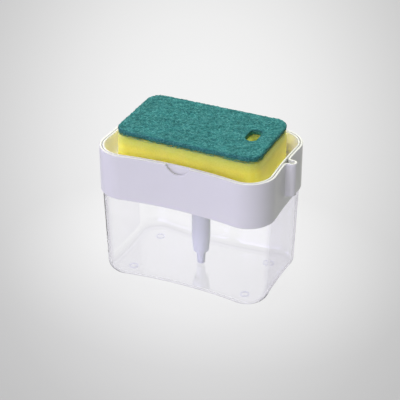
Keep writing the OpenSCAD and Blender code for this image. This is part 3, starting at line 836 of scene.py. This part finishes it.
# The foam's dent below the hole, and its tuck under the pad
DENT_D = 4 * MM
DENT_EDGE = 2.2 * MM
TUCK_H = 5 * MM
TUCK_D = 0.9 * MM

# The pad's oval hole: middle, radius of its ends and half the distance between them
HOLE_MID = (36.85 * MM, 2.3 * MM)
HOLE_R = 4 * MM
HOLE_HALF = 4 * MM

# Uneven surfaces: waves per metre, and height in mm
FOAM_PORES = (900, 0.16)
FOAM_WAVES = (70, 0.35)
WEB_FINE = (1300, 0.2)
WEB_COARSE = (450, 0.26)

# Voxel sizes of the foam and the pad
FOAM_VOXEL = 1.3 * MM
PAD_VOXEL = 0.5 * MM


def ripple(co, scale, height):
    """Smooth unevenness at a point."""
    return noise.noise(co * scale) * height * MM


def hole_gap(x, y):
    """Distance from the pad's oval hole, below zero inside it."""
    dy = max(abs(y - HOLE_MID[1]) - HOLE_HALF, 0.0)
    return math.hypot(x - HOLE_MID[0], dy) - HOLE_R


def make_foam():
    """The foam: uneven sides, tucked in under the pad, dented below the pad's hole."""
    bm = bmesh.new()
    rounded_block(bm, FOAM_LO, FOAM_HI, FOAM_R, FOAM_EDGE_R)
    foam = remeshed(finish_mesh(bm, "foam_block"), FOAM_VOXEL)
    depth = 0.35 * MM
    side_z = 0.75
    skin = 2 * MM

    def swell(co):
        return ripple(co, *FOAM_PORES) + ripple(co, *FOAM_WAVES) - depth

    push_out(foam, swell)
    vertices = foam.data.vertices
    for v, normal in zip(vertices, [v.normal.copy() for v in vertices]):
        near = ease((v.co.z - FOAM_HI.z) / TUCK_H + 1)
        if near > 0 and abs(normal.z) < side_z:
            v.co -= Vector((normal.x, normal.y, 0)).normalized() * TUCK_D * near
        if v.co.z > FOAM_HI.z - skin:
            v.co.z -= DENT_D * ease(-hole_gap(v.co.x, v.co.y) / DENT_EDGE)
    dress(foam, FOAM, "yellow_foam", "sponge", "sponge_foam")
    return foam


def make_pad():
    """The scouring pad with its oval hole and a rough surface."""
    bm = bmesh.new()
    rounded_block(bm, PAD_LO, PAD_HI, PAD_R, PAD_EDGE_R)
    pad = finish_mesh(bm, "scour_web")
    cutter_mesh = bmesh.new()
    steps = 12
    over = 180 / steps
    ring = arc((HOLE_MID[0], HOLE_MID[1] + HOLE_HALF), HOLE_R, 0, 180 + over, steps + 1)
    ring += arc((HOLE_MID[0], HOLE_MID[1] - HOLE_HALF), HOLE_R, 180, 360 + over, steps + 1)
    past = 2 * MM
    low, high = PAD_LO.z - past, PAD_HI.z + past
    add_skin(cutter_mesh, [[(x, y, low) for x, y in ring], [(x, y, high) for x, y in ring]])
    cutter = finish_mesh(cutter_mesh, "hole_cutter")
    cut = pad.modifiers.new("hole", "BOOLEAN")
    cut.object = cutter
    cut.solver = "EXACT"
    pad = remeshed(pad, PAD_VOXEL)
    bpy.data.objects.remove(cutter)

    def web(co):
        return ripple(co, *WEB_FINE) + ripple(co, *WEB_COARSE) - PAD_SUNK

    push_out(pad, web)
    vertices = pad.data.vertices
    side_z = 0.6
    hole_room = 2 * MM
    for v, normal in zip(vertices, [v.normal.copy() for v in vertices]):
        if abs(normal.z) < side_z and hole_gap(v.co.x, v.co.y) > hole_room:
            v.co += Vector((normal.x, normal.y, 0)) * PAD_SUNK
    dress(pad, SCOUR, "green_scour", "sponge", "scour_pad")
    return pad


def pad_gap(x, y):
    """Distance from the pad's outline, below zero inside it."""
    qx = abs(x - (PAD_LO.x + PAD_HI.x) / 2) - ((PAD_HI.x - PAD_LO.x) / 2 - PAD_R)
    qy = abs(y - (PAD_LO.y + PAD_HI.y) / 2) - ((PAD_HI.y - PAD_LO.y) / 2 - PAD_R)
    return math.hypot(max(qx, 0.0), max(qy, 0.0)) + min(max(qx, qy), 0.0) - PAD_R


def pad_top(x, y):
    """Height of the pad's upper side, which rounds off at the edge."""
    out = max(pad_gap(x, y) + PAD_EDGE_R, 0.0)
    return PAD_HI.z - PAD_SUNK - PAD_EDGE_R + math.sqrt(max(PAD_EDGE_R**2 - out**2, 0.0))


def add_fibre(bm, path, radius):
    """A thin four-sided thread along a path of points."""
    rings = []
    for i, point in enumerate(path):
        ahead = (path[min(i + 1, len(path) - 1)] - path[max(i - 1, 0)]).normalized()
        side = ahead.orthogonal().normalized()
        over = ahead.cross(side)
        rings.append([point + side * radius, point + over * radius,
                      point - side * radius, point - over * radius])
    add_skin(bm, rings)


TOP_FIBRES = 1100
EDGE_FIBRES = 700


def make_fibres():
    """Loose fibres of the pad: on its upper side, and round its edge, a little proud of it."""
    draw = random.Random(11)
    steps, radius = 8, 0.09 * MM
    clear = 0.3 * MM
    lift, sway = 0.03 * MM, 0.14 * MM
    bm = bmesh.new()
    for _ in range(TOP_FIBRES):
        x, y = draw.uniform(PAD_LO.x, PAD_HI.x), draw.uniform(PAD_LO.y, PAD_HI.y)
        heading, bend = draw.uniform(0, 2 * math.pi), draw.uniform(-160, 160)
        step, phase = draw.uniform(4, 9) * MM / steps, draw.uniform(0, 2 * math.pi)
        path = []
        for i in range(steps + 1):
            if pad_gap(x, y) > -clear or hole_gap(x, y) < clear:
                break
            wave = sway * math.sin(phase + 0.9 * i)
            path.append(Vector((x, y, pad_top(x, y) + lift + wave)))
            heading += bend * step
            x += step * math.cos(heading)
            y += step * math.sin(heading)
        if len(path) > 3:
            add_fibre(bm, path, radius)
    mid = (PAD_LO + PAD_HI) / 2
    lowest, highest = PAD_LO.z - 0.6 * MM, PAD_HI.z - 1 * MM
    for _ in range(EDGE_FIBRES):
        angle, z = draw.uniform(0, 2 * math.pi), draw.uniform(lowest, highest)
        turn = draw.choice((-1, 1)) * draw.uniform(0.04, 0.1)
        rise = draw.uniform(-0.1, 0.1) * MM
        proud = draw.uniform(-0.1, 0.25) * MM
        path = []
        for i in range(steps + 1):
            a = angle + turn * i / steps
            ray = Vector((math.cos(a), math.sin(a)))
            # The pad's outline on this ray, by halving
            low, high = 0.0, 0.08
            for _ in range(20):
                far = (low + high) / 2
                if pad_gap(mid.x + ray.x * far, mid.y + ray.y * far) < 0:
                    low = far
                else:
                    high = far
            far = low - PAD_SUNK + proud * math.sin(math.pi * i / steps)
            path.append(Vector((mid.x + ray.x * far, mid.y + ray.y * far, z + rise * i)))
        add_fibre(bm, path, radius)
    fibres = finish_mesh(bm, "scour_fibres")
    return dress(fibres, FIBRE_PAINTED_LIGHT, "green_scour", "sponge")


# Return spring

SPRING_CURLS = 8
WIRE_R = 0.45 * MM


def make_spring():
    """The coil of round wire, at the length of the CAD spring; the real one shortens towards
    its seat as the tray is pressed.
    """
    lo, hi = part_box("return_spring")
    radius = (hi.x - lo.x) / 2 - WIRE_R
    steps, sides = 32, 10
    low, high = lo.z + WIRE_R, hi.z - WIRE_R
    count = SPRING_CURLS * steps
    rise = (high - low) / (2 * math.pi * SPRING_CURLS)
    rings = []
    for i in range(count + 1):
        turn = 2 * math.pi * i / steps
        out = Vector((math.cos(turn), math.sin(turn), 0))
        ahead = Vector((-radius * math.sin(turn), radius * math.cos(turn), rise)).normalized()
        over = ahead.cross(out)
        middle = out * radius + Vector((0, 0, low + (high - low) * i / count))
        rings.append([middle + out * WIRE_R * math.cos(a) - over * WIRE_R * math.sin(a)
                      for a in (2 * math.pi * j / sides for j in range(sides))])
    bm = bmesh.new()
    add_skin(bm, rings)
    spring = finish_mesh(bm, "spring_coil", sharp=50.0)
    dress(spring, STEEL, "spring_steel", "top", "return_spring")
    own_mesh(spring)
    return spring


# CAD nodes that keep their own shape

def dress_cad():
    """Materials for the nodes that no piece replaces."""
    kept = {
        "outlet_cap": FLOOR_WHITE_PAINTED_LIGHT, "pump_housing": MILKY, "inlet_tube": MILKY,
        "pump_nut": MILKY, "pump_gasket": RUBBER, "chaplet": MILKY, "stem": MILKY,
        "piston": SEAL, "piston_plug": MILKY, "inlet_ball": BALL, "outlet_ball": BALL}
    for name, mat in kept.items():
        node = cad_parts[name]
        node.data.materials.clear()
        node.data.materials.append(mat)


# Room, light and camera

# Brightness of the floor's painted pool of light, which it gives off as its own glow, against
# the distance from the middle of the pool, fitted to the photo's backdrop
POOL = [
    (0.0, 0.896), (0.12, 0.896), (0.24, 0.884), (0.36, 0.854), (0.48, 0.802), (0.6, 0.732),
    (0.73, 0.656), (0.85, 0.59), (0.97, 0.552)]
POOL_REACH = 0.2

# The pool lies on the floor as an oval that looks round in the photo's view. First, that
# view's perspective of the floor: how it widens and rises towards the back, and where the
# origin lies in it. Then the pool's middle in it, and its height as a share of its width
VIEW_WIDENS = 0.899
VIEW_RISES = 0.513
VIEW_FOOT = -0.042
POOL_MID = 0.0422
POOL_TALL = 1.26

# The floor's colour, as a share of its glow, so that it carries the same painted pool
FLOOR_SHARE = 0.04

# Painted light: a brighter oval on the floor under the tub: its half lengths, and a factor
# that falls to its edge
OVAL_SIZE = (0.15, 0.12, 1.0)
OVAL_PAINTED_LIGHT = [(0.0, 1.02), (0.5, 1.02), (0.75, 0.985), (1.0, 0.935)]


def make_floor():
    """A pale table that glows: its brightness is a painted pool of light that fades outwards,
    with a painted brighter oval under the tub.
    """
    half = 4.0
    mesh = bpy.data.meshes.new("floor")
    corners = [(-half, -half, 0), (half, -half, 0), (half, half, 0), (-half, half, 0)]
    mesh.from_pydata(corners, [], [(0, 1, 2, 3)])
    floor = bpy.data.objects.new("floor", mesh)
    bpy.context.scene.collection.objects.link(floor)
    mat, tree, shader, node = new_material("floor")

    def math_node(operation, *values):
        made = node("ShaderNodeMath", operation=operation)
        for socket, value in zip(made.inputs, values):
            if isinstance(value, (int, float)):
                socket.default_value = value
            else:
                tree.links.new(value, socket)
        return made.outputs["Value"]

    place = node("ShaderNodeTexCoord")
    turned = node("ShaderNodeMapping", vector_type="TEXTURE")
    turned.inputs["Rotation"].default_value = (0, 0, math.radians(CAM_AZIMUTH))
    tree.links.new(place.outputs["Object"], turned.inputs["Vector"])
    parts = node("ShaderNodeSeparateXYZ")
    tree.links.new(turned.outputs["Vector"], parts.inputs["Vector"])
    widen = math_node("MULTIPLY_ADD", parts.outputs["Y"], VIEW_WIDENS, 1.0)
    across = math_node("DIVIDE", parts.outputs["X"], widen)
    along = math_node("MULTIPLY_ADD", parts.outputs["Y"], VIEW_RISES, VIEW_FOOT)
    along = math_node("DIVIDE", along, widen)
    along = math_node("MULTIPLY_ADD", along, 1 / POOL_TALL, -POOL_MID / POOL_TALL)
    far = math_node("SQRT", math_node(
        "ADD", math_node("MULTIPLY", across, across), math_node("MULTIPLY", along, along)))
    far = math_node("DIVIDE", far, POOL_REACH)
    tree.links.new(ramp(tree, node, far, [(r, grey(v * FLOOR_SHARE)) for r, v in POOL]),
                   shader.inputs["Base Color"])
    glow = ramp(tree, node, far, [(r, grey(v)) for r, v in POOL])
    # Painted light: the brighter oval under the tub
    oval = node("ShaderNodeMapping", vector_type="TEXTURE")
    oval.inputs["Scale"].default_value = OVAL_SIZE
    tree.links.new(place.outputs["Object"], oval.inputs["Vector"])
    length = node("ShaderNodeVectorMath", operation="LENGTH")
    tree.links.new(oval.outputs["Vector"], length.inputs[0])
    near = ramp(tree, node, length.outputs["Value"], [(r, grey(v)) for r, v in OVAL_PAINTED_LIGHT])
    tree.links.new(mixed(tree, node, 1.0, glow, near, "MULTIPLY"),
                   shader.inputs["Emission Color"])
    shader.inputs["Emission Strength"].default_value = 0.97
    shader.inputs["Roughness"].default_value = 0.9
    shader.inputs["Specular IOR Level"].default_value = 0.1
    mesh.materials.append(mat)


# Middle of the caddy, at which the lamps point
LIT_POINT = (0, 0, 0.06)


def area_light(name, place, size, power, colour=(1, 1, 1)):
    """A round lamp that points at the caddy."""
    data = bpy.data.lights.new(name, "AREA")
    data.shape = "DISK"
    data.size = size
    data.energy = power
    data.color = colour
    light = bpy.data.objects.new(name, data)
    light.location = place
    aim = Vector(LIT_POINT) - Vector(place)
    light.rotation_euler = aim.to_track_quat("-Z", "Y").to_euler()
    bpy.context.scene.collection.objects.link(light)
    return light


def make_light():
    """Soft studio light, cool from the front and the left.

    The back light shows neither in gloss nor through the tub; the backdrop gives the gloss.
    """
    world = bpy.data.worlds.new("room")
    bpy.context.scene.world = world
    world.use_nodes = True
    back = world.node_tree.nodes["Background"]
    back.inputs["Color"].default_value = (1, 1, 1, 1)
    back.inputs["Strength"].default_value = 0.17
    cool = (0.915, 0.828, 1.319)
    warm = (1.05, 1.05, 0.95)
    area_light("key", (-0.44, -0.90, 0.60), size=1.0, power=2.55, colour=cool)
    area_light("front", (0.12, -1.10, 0.45), size=1.2, power=6.5, colour=cool)
    area_light("left", (-1.05, -0.15, 0.55), size=1.0, power=4.45, colour=cool)
    back_light = area_light("back", (-0.1, 0.82, 1.13), size=1.0, power=25.0, colour=warm)
    back_light.visible_glossy = False
    back_light.visible_transmission = False
    area_light("backdrop", (-0.68, 1.48, 0.98), size=2.4, power=11.0)
    area_light("top_front", (-0.05, -0.42, 1.18), size=0.5, power=4.9, colour=warm)
    bpy.context.scene.view_settings.view_transform = "Standard"


# The camera that the photo's outlines give: its direction, distance and lens
CAM_AZIMUTH = 24.709
CAM_ELEVATION = 30.877
CAM_DISTANCE = 0.9294
CAM_FOCAL_PX = 1351.8
FRAME_PX = 400
CAM_TARGET_Z = 48.87 * MM
TARGET_PX = (201.257, 205.322)


def make_camera():
    """The camera, shifted so that its target on the pump's axis falls on TARGET_PX."""
    data = bpy.data.cameras.new("camera")
    data.sensor_width = 36
    data.lens = data.sensor_width * CAM_FOCAL_PX / FRAME_PX
    data.shift_x = (FRAME_PX / 2 - TARGET_PX[0]) / FRAME_PX
    data.shift_y = (TARGET_PX[1] - FRAME_PX / 2) / FRAME_PX
    camera = bpy.data.objects.new("camera", data)
    bpy.context.scene.collection.objects.link(camera)
    a, e = math.radians(CAM_AZIMUTH), math.radians(CAM_ELEVATION)
    back = Vector((math.sin(a) * math.cos(e), -math.cos(a) * math.cos(e), math.sin(e)))
    camera.location = Vector((0, 0, CAM_TARGET_Z)) + back * CAM_DISTANCE
    camera.rotation_euler = (-back).to_track_quat("-Z", "Y").to_euler()
    bpy.context.scene.camera = camera


make_camera()
make_floor()
make_light()
make_tub()
make_feet()
make_collar()
make_tray()
make_tray_ribs()
make_tray_lug()
make_foam()
make_pad()
make_fibres()
make_spring()
dress_cad()
